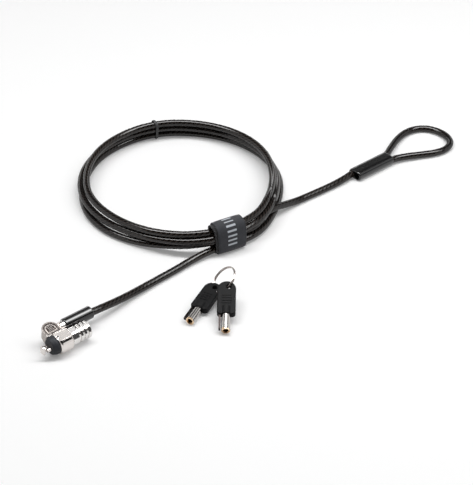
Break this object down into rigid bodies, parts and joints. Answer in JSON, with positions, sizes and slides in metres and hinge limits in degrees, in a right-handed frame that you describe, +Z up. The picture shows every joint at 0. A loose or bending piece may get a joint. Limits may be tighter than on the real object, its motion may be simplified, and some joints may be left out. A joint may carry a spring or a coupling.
{
  "type": "laptop cable lock",
  "caption": "Laptop cable lock: pivoting head with a turning T-bar, strapped coil of black cable ending in an eye loop, and tubular keys on a ring.",
  "frame": {"origin": "centre of the rubber pad's front face, on the lock barrel's axis", "axes": "+X along the lock barrel from the nose to the key face, +Z up, +Y towards the side that the cable sleeve lies on"},
  "size_m": [0.4232, 0.2485, 0.024],
  "materials": {
    "cable_jacket": "black tinted clear jacket over a twisted steel rope, glossy",
    "gloss_moulding": "black, glossy, moulded",
    "crimp_aluminium": "pressed",
    "strap_fabric": "charcoal hook-and-loop tape",
    "tie_plastic": "black, matte",
    "satin_nickel": "satin nickel plate",
    "polished_chrome": "bright chrome plate",
    "plain_steel": "plain turned steel",
    "pad_rubber": "dark grey, matte",
    "turned_brass": "turned brass",
    "key_plastic": "black, fine texture",
    "key_steel": "nickel plated tube",
    "ring_nickel": "nickel plated wire"
  },
  "bodies": {
    "cable": {"cable_lead_lock": "cable_jacket", "cable_coil": "cable_jacket", "cable_lead_loop": "cable_jacket", "eye_loop": "cable_jacket", "cable_sleeve": "gloss_moulding", "cable_collar": "polished_chrome", "cable_eye": "satin_nickel", "ferrule_crimp": "crimp_aluminium", "ferrule_cover": "gloss_moulding", "strap_outer_layer": "strap_fabric", "strap_inner_layer": "strap_fabric", "coil_tie": "tie_plastic"},
    "yoke": {"yoke_body": "satin_nickel", "yoke_panel": "satin_nickel", "hinge_pin": "plain_steel"},
    "barrel": {"lock_barrel": "polished_chrome", "nose_plate": "satin_nickel", "nose_pad": "pad_rubber", "nose_pins": "plain_steel", "pin_block": "turned_brass", "block_pin": "plain_steel", "driver_pins": "turned_brass", "pin_springs": "plain_steel"},
    "rotor": {"rotor": "satin_nickel", "key_pins": "turned_brass", "shaft_clip": "plain_steel", "tbar_spindle": "satin_nickel"},
    "key_ring": {"key_ring": "ring_nickel"},
    "key_1": {"key_1_head": "key_plastic", "key_1_tube": "key_steel", "key_1_core": "turned_brass", "key_1_finger": "key_steel"},
    "key_2": {"key_2_head": "key_plastic", "key_2_tube": "key_steel", "key_2_core": "turned_brass", "key_2_finger": "key_steel"}
  },
  "joints": [
    {"name": "yoke_pivot", "type": "hinge", "parent": "cable", "child": "yoke", "pos_m": [0.0083, 0.01146, 0.00202], "axis": [0, 0.1736, -0.9848], "range_deg": [0, 100]},
    {"name": "barrel_spin", "type": "hinge", "parent": "yoke", "child": "barrel", "pos_m": [0.0115, 0, 0], "axis": [1, 0, 0], "continuous": true},
    {"name": "key_turn", "type": "hinge", "parent": "barrel", "child": "rotor", "pos_m": [0.028, 0, 0], "axis": [1, 0, 0], "range_deg": [0, 90]},
    {"name": "keys_lift", "type": "slide", "parent": "cable", "child": "key_ring", "axis": [0, 0, 1], "range_m": [0, 0.1]},
    {"name": "key_1_round_ring", "type": "hinge", "parent": "key_ring", "child": "key_1", "pos_m": [0.1378, -0.024, 0.0046], "axis": [-0.6038, 0.3321, 0.7246], "range_deg": [-40, 0]},
    {"name": "key_2_round_ring", "type": "hinge", "parent": "key_ring", "child": "key_2", "pos_m": [0.1378, -0.024, 0.0046], "axis": [-0.6038, 0.3321, 0.7246], "range_deg": [0, 60]}
  ]
}
